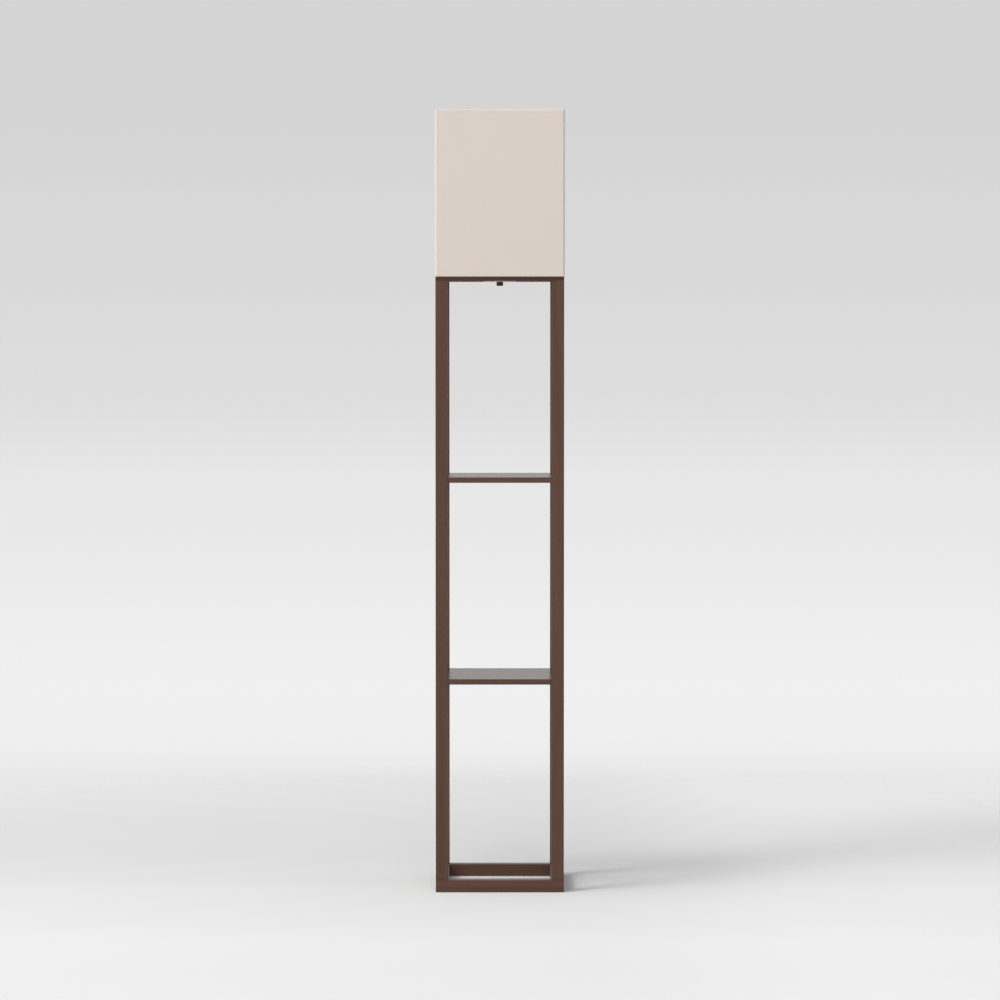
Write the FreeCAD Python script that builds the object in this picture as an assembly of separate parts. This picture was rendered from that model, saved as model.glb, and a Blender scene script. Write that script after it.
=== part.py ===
"""Shelf floor lamp: a square wooden frame with two shelves under a square fabric shade.

Millimetres, +Z up, origin on the floor at the middle of the frame.  The front faces -Y.
Every piece of the lamp is its own solid and is written to parts/NAME.step.
"""
import FreeCAD, Part
import math
import os

os.makedirs("parts", exist_ok=True)
Vector = FreeCAD.Vector
up = Vector(0, 0, 1)
past = 1.0  # a cutting tool runs this far beyond what it cuts

# --- wooden frame -----------------------------------------------------------
frame_width = 260.35
frame_depth = 260.35
post_side = 25.0
rail_height = 25.0
bay_height = 398.8  # clear height of each of the three bays
shelf_thickness = 11.0
board_lip = 7.0  # edge of the top board that shows below the shade
board_upstand = 4.0  # middle of the board, which stands up inside the shade
post_ease = 0.8  # eased edges of posts and rails
shelf_ease = 0.5

# --- loose tenons, screws and bolts -----------------------------------------
tenon_width = 14.0
tenon_thickness = 5.0
tenon_depth = 12.0  # how far a tenon goes into a post or a rail
shelf_tenon_post = 7.0  # how far a shelf's tenon goes into its post
shelf_tenon_shelf = 12.0
board_tenon_depth = 8.0  # how far a post's tenon goes into the top board
tenon_offset = 6.5  # tenon and screw stand this far each side of a post's middle
fit_play = 0.05  # play of a tenon, screw or thread in its hole
end_play = 0.5  # a hole is this much deeper than what goes in it

screw_length = 38.0
screw_shank = 2.0
screw_head = 4.0
screw_cone = 2.6
recess_width = 0.9  # cross recess in a screw head
recess_length = 4.4
recess_depth = 1.1
bolt_radius = 2.0
bolt_head = 3.5
bolt_cone = 1.2  # countersunk head, flush with the plate
bolt_end = 1.0  # bolt beyond its nut
bolt_nut_flats = 7.0
bolt_nut_height = 3.2

# --- shade ------------------------------------------------------------------
shade_height = 337.0
shade_overhang = 1.0  # the shade stands this far outside the frame on each side
shade_corner = 4.0
fabric_thickness = 0.6
liner_thickness = 0.4
ring_wire = 3.0  # wire diameter of the rings and the spider
hem_height = 8.0  # fabric turned in over each ring
hem_play = 0.1
seat_play = 0.4  # between the hem and the board's upstand
upstand_corner = 3.0
arm_bend = 8.0
arm_rise = 6.0  # the arms turn inwards this far above the hem
fitter_radius = 29.0
fitter_thickness = 1.5

# --- switch under the board -------------------------------------------------
plate_radius = 34.0
plate_thickness = 1.5
switch_radius = 13.0
switch_height = 21.0
switch_hole_play = 1.0  # board's middle hole round the switch
bushing_radius = 4.0
spindle_radius = 2.0
spindle_reach = 9.0  # spindle beyond the bushing, inside the switch
spindle_grip = 3.6  # spindle inside the knob
spindle_flat = 0.6
nut_radius = 5.3
nut_thickness = 2.0
bushing_end = 0.6  # bushing below the nut
knob_radius = 6.9
knob_height = 8.0
knob_gap = 0.5
knob_rim_play = 0.35
knob_edge = 0.8
knob_flutes = 16
knob_flute = 0.6  # depth of a flute
knob_collar = 1.0  # plain edge above the flutes

# --- lampholder -------------------------------------------------------------
bracket_thickness = 1.5
bracket_width = 20.0
bracket_leg_gap = 8.0  # between the switch and each leg
bracket_foot = 18.0
bracket_bolt = 7.0  # from a leg to the bolt through its foot
bracket_bend = 2.5
lead_space = 20.0  # between the switch and the bracket
lead_radius = 1.0
lead_spacing = 4.0
nipple_radius = 4.8
nipple_bore = 3.6
nipple_end = 1.5  # nipple beyond its nut and beyond the cap's floor
hex_flats = 14.0
hex_thickness = 4.0
cap_height = 18.0
cap_neck_radius = 8.5
cap_neck = 5.0
cap_cone = 9.0
cap_wall = 2.4
cap_rim_seat = 1.2  # ledge that carries the insulator
cap_throat = 7.5  # hollow of the cap at its floor
socket_radius = 19.0
socket_wall = 2.4
socket_height = 37.0
flange_height = 12.0
flange_thickness = 2.0
flange_radius = 22.5
insulator_thickness = 5.0
shell_wall = 0.6
shell_height = 25.0
contact_width = 6.0
contact_thickness = 0.5
contact_rise = 3.0
contact_half = 7.0
lock_ring_radius = 24.5
lock_ring_height = 6.0
lock_ring_grips = 16
lock_ring_grip = 0.8  # depth of a grip notch
lock_ring_collar = 1.0  # plain edge below the notches

# --- bulb -------------------------------------------------------------------
bulb_play = 0.3  # round the bulb's base and above the contact
base_radius = 13.1
base_height = 22.0
tip_radius = 4.6
tip_height = 1.2
cone_height = 2.6
cone_radius = 7.0
cone_rim = 12.1  # widest part of the insulating cone, inside the base
housing_foot = 15.5
housing_height = 40.0
globe_radius = 30.0
globe_wall = 1.2
globe_neck = 26.5
housing_cones = 3
globe_cones = 6

# --- cord inlet -------------------------------------------------------------
inlet_y = 80.0
inlet_radius = 4.5
inlet_bore = 2.9
inlet_flange = 7.0
inlet_catch = 6.0  # rim that snaps through and holds it from above
inlet_flange_height = 1.5

# --- places worked out from the sizes above ---------------------------------
half_width = frame_width / 2
half_depth = frame_depth / 2
post_x = half_width - post_side / 2
post_y = half_depth - post_side / 2
inner_x = half_width - post_side
inner_y = half_depth - post_side
shelf_lower_z = rail_height + bay_height
shelf_upper_z = shelf_lower_z + shelf_thickness + bay_height
board_z = shelf_upper_z + shelf_thickness + bay_height
shoulder_z = board_z + board_lip
board_top = shoulder_z + board_upstand
shade_top = shoulder_z + shade_height

shade_x = half_width + shade_overhang
shade_y = half_depth + shade_overhang
wall = fabric_thickness + liner_thickness
pocket = ring_wire + hem_play
hem_depth = wall + pocket + fabric_thickness
ring_x = shade_x - wall - pocket / 2
ring_y = shade_y - wall - pocket / 2
ring_lower_z = shoulder_z + fabric_thickness + ring_wire / 2
ring_upper_z = shade_top - fabric_thickness - ring_wire / 2

plate_z = board_z - plate_thickness
nut_z = plate_z - nut_thickness
bushing_z = nut_z - bushing_end
knob_top = plate_z - knob_gap
knob_floor = bushing_z - end_play
knob_bottom = knob_top - knob_height
spindle_bottom = knob_floor - spindle_grip
spindle_top = board_z + spindle_reach
switch_top = board_z + switch_height
spindle_bore = spindle_radius + fit_play

bracket_leg = switch_radius + bracket_leg_gap
bolt_circle = bracket_leg + bracket_bolt
bracket_end = bracket_leg + bracket_foot
bracket_under = max(switch_top, board_top) + lead_space
bracket_top = bracket_under + bracket_thickness
nipple_bottom = bracket_under - hex_thickness - nipple_end
nipple_top = bracket_top + cap_wall + nipple_end
cap_top = bracket_top + cap_height
socket_top = cap_top + socket_height
socket_bore = socket_radius - socket_wall
insulator_top = cap_top + insulator_thickness
shell_radius = base_radius + bulb_play
flange_top = cap_top + flange_height + flange_thickness
fitter_top = flange_top + fitter_thickness

tip_z = insulator_top + contact_rise + bulb_play
cone_z = tip_z + tip_height
base_z = cone_z + cone_height
housing_z = max(base_z + base_height, socket_top + bulb_play)
globe_z = housing_z + housing_height
globe_centre = globe_z + math.sqrt(globe_radius ** 2 - globe_neck ** 2)
inlet_x = -post_x

corners = {
    "front_left": (-1, -1),
    "front_right": (1, -1),
    "rear_left": (-1, 1),
    "rear_right": (1, 1),
}


# --- shapes that several pieces share ---------------------------------------
def save(name, shape):
    """Write one piece."""
    shape.exportStep("parts/" + name + ".step")


def box(x, y, z):
    """A block between two limits along each axis."""
    return Part.makeBox(x[1] - x[0], y[1] - y[0], z[1] - z[0], Vector(x[0], y[0], z[0]))


def rod(radius, start, direction, length):
    return Part.makeCylinder(radius, length, start, direction)


def tube(outer, inner, z0, z1):
    """An upright tube about the lamp's middle."""
    solid = rod(outer, Vector(0, 0, z0), up, z1 - z0)
    return solid.cut(rod(inner, Vector(0, 0, z0 - past), up, z1 - z0 + 2 * past))


def turned(points):
    """Revolve a closed line of (radius, height) points about Z."""
    places = [Vector(r, 0, z) for r, z in points]
    return Part.Face(Part.makePolygon(places + places[:1])).revolve(Vector(), up, 360)


def rounded(x, y, radius, z0, z1):
    """An upright block of half sizes x and y with rounded vertical corners."""
    block = box((-x, x), (-y, y), (z0, z1))
    upright = [e for e in block.Edges if abs(e.tangentAt(e.FirstParameter).z) > 0.9]
    return block.makeFillet(radius, upright)


def rounded_wall(x, y, radius, thickness, z0, z1):
    """A thin square tube; the sizes are its outside."""
    inside = radius - thickness
    hollow = rounded(x - thickness, y - thickness, inside, z0 - past, z1 + past)
    return rounded(x, y, radius, z0, z1).cut(hollow)


def bent(points, bend, section):
    """Sweep a closed section along straight runs joined by tangent arcs."""
    edges = []
    start = points[0]
    for before, corner, after in zip(points, points[1:], points[2:]):
        arrive = (corner - before).normalize()
        leave = (after - corner).normalize()
        half_turn = arrive.getAngle(leave) / 2
        setback = bend * math.tan(half_turn)
        first = corner - arrive * setback
        last = corner + leave * setback
        inwards = (leave - arrive).normalize()
        middle = corner + inwards * (bend / math.cos(half_turn) - bend)
        edges.append(Part.LineSegment(start, first).toShape())
        edges.append(Part.Arc(first, middle, last).toShape())
        start = last
    edges.append(Part.LineSegment(start, points[-1]).toShape())
    return Part.Wire(edges).makePipeShell([section], True, False)


def notched(shape, radius, depth, count, z0, z1):
    """Cut upright vee grooves all round a turned piece."""
    half = depth * math.sqrt(2)
    for i in range(count):
        tool = Part.makeBox(half, half, z1 - z0, Vector(-half / 2, -half / 2, z0))
        tool.rotate(Vector(), up, 45)
        tool.translate(Vector(radius, 0, 0))
        tool.rotate(Vector(), up, 360 * i / count)
        shape = shape.cut(tool)
    return shape


def strap(points, bend, thickness, width):
    """A bent strip that starts along X; the points are on its middle."""
    start = points[0]
    half = Vector(0, width / 2, thickness / 2)
    other = Vector(0, width / 2, -thickness / 2)
    outline = [start + half, start + other, start - half, start - other, start + half]
    return bent(points, bend, Part.makePolygon(outline))


def compound_of(solids):
    return solids[0] if len(solids) == 1 else Part.makeCompound(solids)


def eased(shape, size, keep):
    """Chamfer the edges for which keep(edge) is true."""
    return shape.makeChamfer(size, [e for e in shape.Edges if keep(e)])


# --- loose tenons: each is a block, and its mortises are the same block with play --------
def tenon(centre, along, across, low, high):
    """Limits of a tenon through a centre, from low to high along one axis.

    along and across are the axes (0, 1, 2) of its length and its width."""
    limits = []
    for axis, middle in enumerate(centre):
        if axis == along:
            limits.append((middle + low, middle + high))
        else:
            size = tenon_width if axis == across else tenon_thickness
            limits.append((middle - size / 2, middle + size / 2))
    return along, limits


def base_tenons():
    """One tenon at the foot of each post, down into the rail."""
    return [tenon((sx * post_x, sy * (post_y - tenon_offset), rail_height),
                  2, 0, -tenon_depth, tenon_depth)
            for sx, sy in corners.values()]


def board_tenons():
    """One tenon at the top of each post, up into the board."""
    return [tenon((sx * post_x, sy * (post_y - tenon_offset), board_z),
                  2, 0, -tenon_depth, board_tenon_depth)
            for sx, sy in corners.values()]


def rail_tenons():
    """One tenon where each end of a side rail meets the front or rear rail."""
    middle = rail_height - tenon_depth - end_play - tenon_thickness
    return [tenon((sx * post_x, sy * inner_y, middle), 1, 0, -tenon_depth, tenon_depth)
            for sx, sy in corners.values()]


def shelf_tenons(z):
    """One tenon at each corner of a shelf, into the inner side face of the post."""
    into, out = shelf_tenon_post, shelf_tenon_shelf
    return [tenon((sx * inner_x, sy * post_y, z + shelf_thickness / 2),
                  0, 1, *((-out, into) if sx > 0 else (-into, out)))
            for sx, sy in corners.values()]


def pegs(places):
    return compound_of([box(*limits) for along, limits in places])


def morticed(shape, places):
    """Cut the mortises, a little larger than the tenons and deeper at their ends."""
    for along, limits in places:
        grown = [(low - play, high + play)
                 for axis, (low, high) in enumerate(limits)
                 for play in [end_play if axis == along else fit_play]]
        shape = shape.cut(box(*grown))
    return shape


# --- wood screws and through bolts ---------------------------------------------------------
def screw_places():
    """Heads of the four screws through the board into the posts."""
    return [(sx * post_x, sy * (post_y + tenon_offset - screw_head / 2))
            for sx, sy in corners.values()]


def board_screws():
    body = turned([
        (0, board_top), (screw_head, board_top), (screw_shank, board_top - screw_cone),
        (screw_shank, board_top - screw_length), (0, board_top - screw_length),
    ])
    arm = recess_length / 2
    slot = recess_width / 2
    for x, y in ((arm, slot), (slot, arm)):
        body = body.cut(box((-x, x), (-y, y), (board_top - recess_depth, board_top + past)))
    return compound_of([body.translated(Vector(x, y, 0)) for x, y in screw_places()])


def screw_holes(shape):
    """Cut the board screws' holes, with a countersink for each head."""
    bottom = board_top - screw_length - end_play
    for x, y in screw_places():
        hole = turned([
            (0, board_top), (screw_head + fit_play, board_top),
            (screw_shank + fit_play, board_top - screw_cone),
            (screw_shank + fit_play, bottom), (0, bottom),
        ])
        shape = shape.cut(hole.translated(Vector(x, y, 0)))
    return shape


def on_bolts(shape):
    """The same shape on both bolts."""
    return [shape.translated(Vector(side * bolt_circle, 0, 0)) for side in (-1, 1)]


def bolt_holes(shape, z0, z1):
    """Two holes for the bolts that clamp plate, board and bracket together."""
    hole = rod(bolt_radius + fit_play, Vector(0, 0, z0 - past), up, z1 - z0 + 2 * past)
    return shape.cut(compound_of(on_bolts(hole)))


def plate_bolts():
    """Countersunk bolts, flush with the plate, with a cross recess in each head."""
    top = board_top + bracket_thickness + bolt_nut_height + bolt_end
    body = turned([
        (0, plate_z), (bolt_head, plate_z), (bolt_radius, plate_z + bolt_cone),
        (bolt_radius, top), (0, top),
    ])
    arm = recess_length / 2
    slot = recess_width / 2
    for x, y in ((arm, slot), (slot, arm)):
        body = body.cut(box((-x, x), (-y, y), (plate_z - past, plate_z + recess_depth)))
    return compound_of(on_bolts(body))


def hex_nut(flats, height, bore, z):
    corner = flats / math.sqrt(3)
    points = [Vector(corner * math.cos(math.radians(60 * i)),
                     corner * math.sin(math.radians(60 * i)), z) for i in range(7)]
    nut = Part.Face(Part.makePolygon(points)).extrude(Vector(0, 0, height))
    return nut.cut(rod(bore, Vector(0, 0, z - past), up, height + 2 * past))


def bolt_nuts():
    nut = hex_nut(bolt_nut_flats, bolt_nut_height, bolt_radius + fit_play,
                  board_top + bracket_thickness)
    return compound_of(on_bolts(nut))


# --- wooden frame -----------------------------------------------------------------
def post(sx, sy):
    half = post_side / 2
    x = (sx * post_x - half, sx * post_x + half)
    y = (sy * post_y - half, sy * post_y + half)
    blank = box(x, y, (rail_height, board_z))
    blank = blank.makeChamfer(post_ease, blank.Edges)
    blank = morticed(blank, base_tenons() + board_tenons())
    blank = morticed(blank, shelf_tenons(shelf_lower_z) + shelf_tenons(shelf_upper_z))
    return screw_holes(blank)


def cross_rail(sy):
    """Front or rear rail of the base: full width, and the posts stand on it."""
    y = sorted((sy * inner_y, sy * half_depth))
    rail = box((-half_width, half_width), y, (0, rail_height))
    rail = rail.makeChamfer(post_ease, rail.Edges)
    return morticed(rail, base_tenons() + rail_tenons())


def side_rail(sx):
    """Side rail of the base, between the front and rear rails."""
    x = sorted((sx * inner_x, sx * half_width))
    rail = box(x, (-inner_y, inner_y), (0, rail_height))
    rail = eased(rail, post_ease, lambda e: abs(e.tangentAt(e.FirstParameter).y) > 0.9)
    return morticed(rail, rail_tenons())


def on_rim(edge):
    """True for a level edge on the frame's outer faces."""
    centre = edge.CenterOfMass
    level = abs(edge.tangentAt(edge.FirstParameter).z) < 0.1
    outside = (abs(abs(centre.x) - half_width) < 0.01
               or abs(abs(centre.y) - half_depth) < 0.01)
    return level and outside


def shelf(z):
    """A thin shelf, notched round the four posts and flush with their outer faces."""
    panel = box((-half_width, half_width), (-half_depth, half_depth), (z, z + shelf_thickness))
    for sx, sy in corners.values():
        notch = box(sorted((sx * inner_x, sx * (half_width + past))),
                    sorted((sy * inner_y, sy * (half_depth + past))),
                    (z - past, z + shelf_thickness + past))
        panel = panel.cut(notch)
    return morticed(eased(panel, shelf_ease, on_rim), shelf_tenons(z))


def top_board():
    """Board on the posts, rebated so that the shade stands on its shoulder."""
    lip = box((-half_width, half_width), (-half_depth, half_depth), (board_z, shoulder_z))
    lip = eased(lip, shelf_ease, on_rim)
    inside_x = shade_x - hem_depth - seat_play
    inside_y = shade_y - hem_depth - seat_play
    raised = rounded(inside_x, inside_y, upstand_corner, shoulder_z - past, board_top)
    board = lip.fuse(raised).removeSplitter()
    through = board_top - board_z + 2 * past
    middle = rod(switch_radius + switch_hole_play, Vector(0, 0, board_z - past), up, through)
    inlet = rod(inlet_radius, Vector(inlet_x, inlet_y, board_z - past), up, through)
    board = board.cut(middle).cut(inlet)
    board = screw_holes(morticed(board, board_tenons()))
    return bolt_holes(board, board_z, board_top)


# --- shade --------------------------------------------------------------------------
def shade_fabric():
    """Fabric wall whose top and bottom are turned in over the rings as hems."""
    outside = rounded_wall(shade_x, shade_y, shade_corner, fabric_thickness,
                           shoulder_z, shade_top)
    flap_x = shade_x - wall - pocket
    flap_y = shade_y - wall - pocket
    inside_x = shade_x - hem_depth
    inside_y = shade_y - hem_depth
    for edge_z, turn in ((shoulder_z, 1), (shade_top, -1)):
        cap = sorted((edge_z, edge_z + turn * fabric_thickness))
        flap = sorted((edge_z, edge_z + turn * hem_height))
        fold = rounded(shade_x, shade_y, shade_corner, *cap).cut(
            box((-inside_x, inside_x), (-inside_y, inside_y), (cap[0] - past, cap[1] + past)))
        inner = box((-flap_x, flap_x), (-flap_y, flap_y), flap).cut(
            box((-inside_x, inside_x), (-inside_y, inside_y), (flap[0] - past, flap[1] + past)))
        outside = outside.fuse(fold).fuse(inner)
    return outside.removeSplitter()


def shade_liner():
    """Stiff film that backs the fabric between its two folded edges."""
    return rounded_wall(shade_x - fabric_thickness, shade_y - fabric_thickness,
                        shade_corner - fabric_thickness, liner_thickness,
                        shoulder_z + fabric_thickness, shade_top - fabric_thickness)


def wire_section(centre, direction):
    """Eight-sided section of the shade's wire, square to the way it starts."""
    side = Vector(0, 0, 1) if abs(direction.z) < 0.5 else Vector(1, 0, 0)
    other = direction.cross(side)
    radius = ring_wire / 2 / math.cos(math.pi / 8)
    points = []
    for i in range(9):
        angle = math.pi / 8 + i * math.pi / 4
        points.append(centre + side * (radius * math.cos(angle))
                      + other * (radius * math.sin(angle)))
    return Part.makePolygon(points)


def shade_ring(z):
    """A square ring of wire, mitred and welded at its corners."""
    places = [Vector(sx * ring_x, sy * ring_y, z) for sx, sy in ((1, 1), (-1, 1), (-1, -1), (1, -1))]
    half = ring_wire / 2
    ring = None
    for i, corner in enumerate(places):
        after = places[(i + 1) % 4]
        way = (after - corner).normalize()
        section = Part.Face(wire_section(corner - way * half, way))
        side = section.extrude(after - corner + way * ring_wire)
        ring = side if ring is None else ring.fuse(side)
    limit = rounded(ring_x + half, ring_y + half, shade_corner - wall, z - ring_wire,
                    z + ring_wire)
    return ring.removeSplitter().common(limit)


def shade_spider():
    """Four wire arms from the lower ring up to the fitter that sits on the lampholder."""
    middle_z = flange_top + fitter_thickness / 2
    spider = tube(fitter_radius, socket_radius + bulb_play, flange_top, fitter_top)
    foot_z = ring_lower_z + ring_wire / 2
    turn_z = shoulder_z + hem_height + arm_rise
    reach = fitter_radius - ring_wire
    for axis, distance in ((Vector(1, 0, 0), ring_x), (Vector(0, 1, 0), ring_y)):
        for side in (-1, 1):
            out = axis * side
            points = [out * distance + up * foot_z, out * distance + up * turn_z,
                      out * reach + up * middle_z]
            spider = spider.fuse(bent(points, arm_bend, wire_section(points[0], up)))
    return spider.removeSplitter()


# --- switch -------------------------------------------------------------------------
def switch_plate():
    """Round plate under the board, countersunk for its two bolts."""
    plate = tube(plate_radius, bushing_radius + fit_play, plate_z, board_z)
    sink = turned([
        (0, plate_z), (bolt_head + fit_play, plate_z),
        (bolt_radius + fit_play, plate_z + bolt_cone), (0, plate_z + bolt_cone),
    ])
    return bolt_holes(plate.cut(compound_of(on_bolts(sink))), plate_z, board_z)


def switch_body():
    """Round rotary switch that stands on the plate inside the board's middle hole."""
    body = rod(switch_radius, Vector(0, 0, board_z), up, switch_height)
    return body.cut(rod(spindle_bore, Vector(0, 0, board_z - past), up,
                        past + spindle_reach + end_play))


def switch_bushing():
    """Threaded neck below the switch, through the plate and its nut."""
    return tube(bushing_radius, spindle_bore, bushing_z, board_z)


def switch_nut():
    """Round ring nut with two spanner slots, hidden inside the knob's rim."""
    nut = tube(nut_radius, bushing_radius + fit_play, nut_z, plate_z)
    slot = box((-nut_radius, nut_radius), (-recess_width, recess_width),
               (nut_z, nut_z + nut_thickness / 2))
    return nut.cut(slot)


def spindle_half_round(radius, z0, z1):
    """Round bar with one flat side."""
    bar = rod(radius, Vector(0, 0, z0), up, z1 - z0)
    flat_y = spindle_radius - spindle_flat
    return bar.cut(box((-radius, radius), (flat_y, radius + past), (z0, z1)))


def switch_spindle():
    keyed = spindle_half_round(spindle_radius, spindle_bottom, knob_floor)
    plain = rod(spindle_radius, Vector(0, 0, knob_floor), up, spindle_top - knob_floor)
    return keyed.fuse(plain)


def switch_knob():
    """Fluted round knob with a hollow rim over the nut and a keyed hole."""
    knob = turned([
        (0, knob_bottom), (knob_radius - knob_edge, knob_bottom),
        (knob_radius, knob_bottom + knob_edge), (knob_radius, knob_top), (0, knob_top),
    ])
    knob = knob.cut(rod(nut_radius + knob_rim_play, Vector(0, 0, knob_floor), up,
                        knob_top - knob_floor + past))
    knob = knob.cut(spindle_half_round(spindle_radius, spindle_bottom, knob_floor + end_play))
    return notched(knob, knob_radius, knob_flute, knob_flutes, knob_bottom - past,
                   knob_top - knob_collar)


# --- lampholder -----------------------------------------------------------------------
def socket_bracket():
    """Bent steel strap that carries the lampholder over the switch."""
    low = board_top + bracket_thickness / 2
    high = bracket_under + bracket_thickness / 2
    points = [Vector(-bracket_end, 0, low), Vector(-bracket_leg, 0, low),
              Vector(-bracket_leg, 0, high), Vector(bracket_leg, 0, high),
              Vector(bracket_leg, 0, low), Vector(bracket_end, 0, low)]
    bracket = strap(points, bracket_bend, bracket_thickness, bracket_width)
    bracket = bracket.cut(rod(nipple_radius + fit_play, Vector(0, 0, bracket_under - past), up,
                              bracket_thickness + 2 * past))
    return bolt_holes(bracket, board_top, board_top + bracket_thickness)


def socket_nipple():
    return tube(nipple_radius, nipple_bore, nipple_bottom, nipple_top)


def nipple_nut():
    return hex_nut(hex_flats, hex_thickness, nipple_radius + fit_play,
                   bracket_under - hex_thickness)


def socket_cap():
    """Hollow lower cap of the lampholder, from its neck out to the body."""
    neck = cap_neck_radius
    shoulder = bracket_top + cap_neck
    rim = shoulder + cap_cone
    floor_z = bracket_top + cap_wall
    hole = nipple_radius + fit_play
    return turned([
        (hole, bracket_top), (neck, bracket_top), (neck, shoulder), (socket_radius, rim),
        (socket_radius, cap_top), (socket_bore - cap_rim_seat, cap_top),
        (socket_bore - cap_rim_seat, rim), (cap_throat, floor_z), (hole, floor_z),
    ])


def socket_shell():
    """Outer body of the lampholder, with the flange that carries the shade's fitter."""
    flange_z = cap_top + flange_height
    return turned([
        (socket_bore, cap_top), (socket_radius, cap_top), (socket_radius, flange_z),
        (flange_radius, flange_z), (flange_radius, flange_top), (socket_radius, flange_top),
        (socket_radius, socket_top), (socket_bore, socket_top),
    ])


def socket_insulator():
    """Disc that lies on the cap's rim and carries the screw shell."""
    return rod(socket_bore - fit_play, Vector(0, 0, cap_top), up, insulator_thickness)


def socket_screw_shell():
    return tube(shell_radius + shell_wall, shell_radius, insulator_top,
                insulator_top + shell_height)


def socket_contact():
    """Sprung brass tongue under the bulb's tip."""
    low = insulator_top + contact_thickness / 2
    high = insulator_top + contact_rise - contact_thickness / 2
    points = [Vector(-contact_half, 0, low), Vector(contact_half, 0, low),
              Vector(contact_half, 0, high), Vector(-contact_half / 2, 0, high)]
    return strap(points, 2 * contact_thickness, contact_thickness, contact_width)


def lock_ring():
    """Ribbed ring that screws down on the lampholder and clamps the shade's fitter."""
    ring = tube(lock_ring_radius, socket_radius + fit_play, fitter_top,
                fitter_top + lock_ring_height)
    return notched(ring, lock_ring_radius, lock_ring_grip, lock_ring_grips,
                   fitter_top + lock_ring_collar, fitter_top + lock_ring_height + past)


def supply_leads():
    """Two insulated leads from the switch through the nipple to the lampholder."""
    length = cap_top - switch_top
    return compound_of([rod(lead_radius, Vector(side * lead_spacing / 2, 0, switch_top), up, length)
                        for side in (-1, 1)])


# --- bulb -------------------------------------------------------------------------------
def bulb_tip():
    return turned([(0, tip_z), (tip_radius - tip_height, tip_z), (tip_radius, cone_z), (0, cone_z)])


def bulb_insulator():
    return turned([(0, cone_z), (cone_radius, cone_z), (cone_rim, base_z), (0, base_z)])


def bulb_base():
    top = housing_z
    return rod(base_radius, Vector(0, 0, base_z), up, top - base_z)


def bulb_housing():
    """Flared plastic body between the screw base and the globe, in cones."""
    points = [(0, housing_z)]
    for i in range(housing_cones + 1):
        share = i / housing_cones
        radius = globe_neck + (housing_foot - globe_neck) * math.cos(share * math.pi / 2)
        points.append((radius, housing_z + housing_height * share))
    return turned(points + [(0, globe_z)])


def globe_line(radius):
    """Outline of a dome of that radius, from the housing's top up to the axis, in cones."""
    rise = globe_centre - globe_z
    low = -math.asin(rise / radius)
    steps = [low + (math.pi / 2 - low) * i / globe_cones for i in range(globe_cones)]
    points = [(radius * math.cos(a), globe_centre + radius * math.sin(a)) for a in steps]
    return points + [(0, globe_centre + radius)]


def bulb_globe():
    """Frosted dome with a thin wall, open below where it sits on the housing."""
    return turned(globe_line(globe_radius) + globe_line(globe_radius - globe_wall)[::-1])


# --- cord inlet ---------------------------------------------------------------------------
def cord_grommet():
    """Bushing in the board for the supply cord, beside the rear left post."""
    under = board_z - inlet_flange_height
    over = board_top + inlet_flange_height
    grommet = turned([
        (inlet_bore, under), (inlet_flange, under), (inlet_flange, board_z),
        (inlet_radius - fit_play, board_z), (inlet_radius - fit_play, board_top),
        (inlet_catch, board_top), (inlet_catch, over), (inlet_bore, over),
    ])
    grommet.translate(Vector(inlet_x, inlet_y, 0))
    return grommet


# --- the lamp -------------------------------------------------------------------------------
for corner_name, signs in corners.items():
    save("post_" + corner_name, post(*signs))
save("base_rail_front", cross_rail(-1))
save("base_rail_rear", cross_rail(1))
save("base_rail_left", side_rail(-1))
save("base_rail_right", side_rail(1))
save("shelf_lower", shelf(shelf_lower_z))
save("shelf_upper", shelf(shelf_upper_z))
save("top_board", top_board())
save("base_rail_tenons", pegs(rail_tenons()))
save("base_post_tenons", pegs(base_tenons()))
save("shelf_lower_tenons", pegs(shelf_tenons(shelf_lower_z)))
save("shelf_upper_tenons", pegs(shelf_tenons(shelf_upper_z)))
save("board_tenons", pegs(board_tenons()))
save("board_screws", board_screws())
save("shade_fabric", shade_fabric())
save("shade_liner", shade_liner())
save("shade_ring_upper", shade_ring(ring_upper_z))
save("shade_ring_lower", shade_ring(ring_lower_z))
save("shade_spider", shade_spider())
save("switch_plate", switch_plate())
save("plate_bolts", plate_bolts())
save("switch_body", switch_body())
save("switch_bushing", switch_bushing())
save("switch_nut", switch_nut())
save("switch_spindle", switch_spindle())
save("switch_knob", switch_knob())
save("socket_bracket", socket_bracket())
save("bracket_nuts", bolt_nuts())
save("socket_nipple", socket_nipple())
save("nipple_nut", nipple_nut())
save("socket_cap", socket_cap())
save("socket_shell", socket_shell())
save("socket_insulator", socket_insulator())
save("socket_screw_shell", socket_screw_shell())
save("socket_contact", socket_contact())
save("lock_ring", lock_ring())
save("supply_leads", supply_leads())
save("bulb_tip", bulb_tip())
save("bulb_insulator", bulb_insulator())
save("bulb_base", bulb_base())
save("bulb_housing", bulb_housing())
save("bulb_globe", bulb_globe())
save("cord_grommet", cord_grommet())
print("overall height", round(shade_top, 2), "width", round(2 * shade_x, 2))
print("bulb top", round(globe_centre + globe_radius, 2), "board top", round(board_top, 2))
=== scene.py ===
import math

import bmesh
import bpy
from mathutils import Matrix, Quaternion, Vector


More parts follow.
